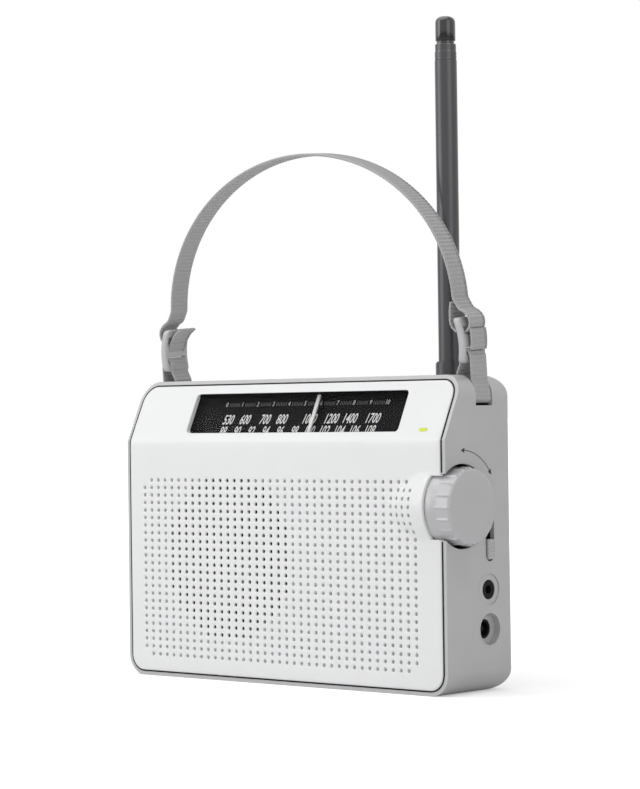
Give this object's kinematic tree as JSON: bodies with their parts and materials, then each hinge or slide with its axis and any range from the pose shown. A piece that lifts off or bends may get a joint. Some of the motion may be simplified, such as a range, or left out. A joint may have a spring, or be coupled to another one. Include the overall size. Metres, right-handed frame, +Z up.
{
  "type": "portable radio",
  "caption": "Portable analogue radio: slanted dial with a moving pointer, side tuning knob, perforated loudspeaker front, webbing carrying strap and a folding telescopic aerial.",
  "frame": {"origin": "middle of the flat bottom of the case", "axes": "+X to the radio's right as seen from the front, where the tuning knob is; -Y to the front; +Z up"},
  "size_m": [0.1785, 0.0465, 0.2653],
  "materials": {
    "white_plastic": "satin white",
    "silver_plastic": "silver-grey, satin",
    "clear_plastic": "smoked, polished",
    "dial_black": "printed, matt",
    "black_plastic": "matt black",
    "pointer_white": "white",
    "nylon": "natural nylon",
    "cord": "braided",
    "steel": "zinc plated",
    "lamp": "tinted, translucent",
    "grey_plastic": "silver-grey",
    "aluminium": "mill finish",
    "magnet": "ferrite, ground",
    "cone_paper": "black paper",
    "board_green": "solder mask",
    "chip_black": "moulded epoxy",
    "can_sleeve": "shrink sleeve",
    "copper": "enamelled copper",
    "cell_label": "printed sleeve",
    "spring_steel": "nickel plated",
    "aerial_dark": "dark chrome",
    "aerial_bright": "bright chrome",
    "cap_black": "polished black",
    "webbing": "woven nylon",
    "buckle_grey": "light grey"
  },
  "bodies": {
    "case": {"front_panel": "white_plastic", "rear_case": "silver_plastic", "dial_window": "clear_plastic", "dial_plate": "dial_black", "dial_frame": "black_plastic", "pointer_rail": "steel", "dial_cord": "cord", "signal_lamp": "lamp", "tuning_bracket": "steel", "tuning_capacitor": "aluminium", "speaker_frame": "steel", "speaker_magnet": "magnet", "speaker_cone": "cone_paper", "speaker_screws": "steel", "circuit_board": "board_green", "board_screws": "steel", "radio_chip": "chip_black", "electrolytic_capacitors": "can_sleeve", "coil_cans": "aluminium", "ferrite_rod": "magnet", "rod_coil": "copper", "rod_clips": "nylon", "headphone_jack": "black_plastic", "power_jack": "black_plastic", "band_switch": "steel", "volume_board": "board_green", "volume_control": "black_plastic", "battery_cells": "cell_label", "battery_contacts": "spring_steel", "case_screws": "steel", "strap_loop_left": "webbing", "strap_loop_right": "webbing"},
    "knob": {"tuning_knob": "grey_plastic", "tuning_shaft": "steel"},
    "pointer": {"pointer": "pointer_white"},
    "pulley_front": {"pulley_front": "nylon"},
    "pulley_rear": {"pulley_rear": "nylon"},
    "pulley_left": {"pulley_left": "nylon"},
    "capacitor_gear": {"capacitor_gear": "nylon"},
    "band_slider": {"band_slider": "silver_plastic"},
    "volume_wheel": {"volume_wheel": "grey_plastic"},
    "battery_door": {"battery_door": "silver_plastic"},
    "aerial_swivel": {"aerial_swivel": "black_plastic", "aerial_pin": "steel"},
    "aerial": {"aerial_foot": "aerial_dark", "aerial_tube": "aerial_dark"},
    "aerial_2": {"aerial_section_2": "aerial_bright"},
    "aerial_3": {"aerial_section_3": "aerial_bright"},
    "aerial_4": {"aerial_rod": "aerial_bright", "aerial_cap": "cap_black"},
    "strap": {"carrying_strap": "webbing", "buckle_left": "buckle_grey", "buckle_right": "buckle_grey"}
  },
  "joints": [
    {"name": "tuning_knob_turn", "type": "hinge", "parent": "case", "child": "knob", "pos_m": [0.085, -0.009, 0.0723], "axis": [1, 0, 0], "range_deg": [-521, 464]},
    {"name": "pointer_slide", "type": "slide", "parent": "case", "child": "pointer", "axis": [1, 0, 0], "range_m": [-0.0456, 0.0406]},
    {"name": "capacitor_gear_turn", "type": "hinge", "parent": "case", "child": "capacitor_gear", "pos_m": [0.0565, -0.005, 0.05972], "axis": [1, 0, 0], "range_deg": [-83.5, 93.5]},
    {"name": "pulley_front_turn", "type": "hinge", "parent": "case", "child": "pulley_front", "pos_m": [0.063, -0.014, 0.091], "axis": [0, 1, 0], "range_deg": [-870, 775]},
    {"name": "pulley_rear_turn", "type": "hinge", "parent": "case", "child": "pulley_rear", "pos_m": [0.063, -0.004, 0.091], "axis": [0, 1, 0], "range_deg": [-775, 870]},
    {"name": "pulley_left_turn", "type": "hinge", "parent": "case", "child": "pulley_left", "pos_m": [-0.048, -0.009, 0.094], "axis": [0, 0, 1], "range_deg": [-522, 465]},
    {"name": "band_slide", "type": "slide", "parent": "case", "child": "band_slider", "axis": [0, 0, 1], "range_m": [0, 0.008]},
    {"name": "volume_turn", "type": "hinge", "parent": "case", "child": "volume_wheel", "pos_m": [-0.078, 0.0085, 0.074], "axis": [0, 1, 0], "range_deg": [0, 270]},
    {"name": "battery_door_pull", "type": "slide", "parent": "case", "child": "battery_door", "axis": [0, 1, 0], "range_m": [0, 0.03]},
    {"name": "aerial_swivel_turn", "type": "hinge", "parent": "case", "child": "aerial_swivel", "pos_m": [0.061, 0.0155, 0.118], "axis": [0, 0, -1], "range_deg": [0, 90]},
    {"name": "aerial_tilt", "type": "hinge", "parent": "aerial_swivel", "child": "aerial", "pos_m": [0.061, 0.0155, 0.118], "axis": [0, -1, 0], "range_deg": [0, 90]},
    {"name": "aerial_slide_2", "type": "slide", "parent": "aerial", "child": "aerial_2", "axis": [0, 0, 1], "range_m": [0, 0.11]},
    {"name": "aerial_slide_3", "type": "slide", "parent": "aerial_2", "child": "aerial_3", "axis": [0, 0, 1], "range_m": [0, 0.11]},
    {"name": "aerial_slide_4", "type": "slide", "parent": "aerial_3", "child": "aerial_4", "axis": [0, 0, 1], "range_m": [0, 0.11]},
    {"name": "strap_swing", "type": "hinge", "parent": "case", "child": "strap", "pos_m": [0, 0.0052, 0.123], "axis": [1, 0, 0], "range_deg": [0, 25], "deforming": ["strap_loop_left", "strap_loop_right"]}
  ],
  "couplings": [
    {"joint": "pointer_slide", "follows": "tuning_knob_turn", "m_per_rad": 0.005},
    {"joint": "capacitor_gear_turn", "follows": "tuning_knob_turn", "ratio": -0.17857},
    {"joint": "pulley_front_turn", "follows": "tuning_knob_turn", "ratio": 1.6667},
    {"joint": "pulley_rear_turn", "follows": "tuning_knob_turn", "ratio": -1.6667},
    {"joint": "pulley_left_turn", "follows": "tuning_knob_turn", "ratio": 1}
  ]
}
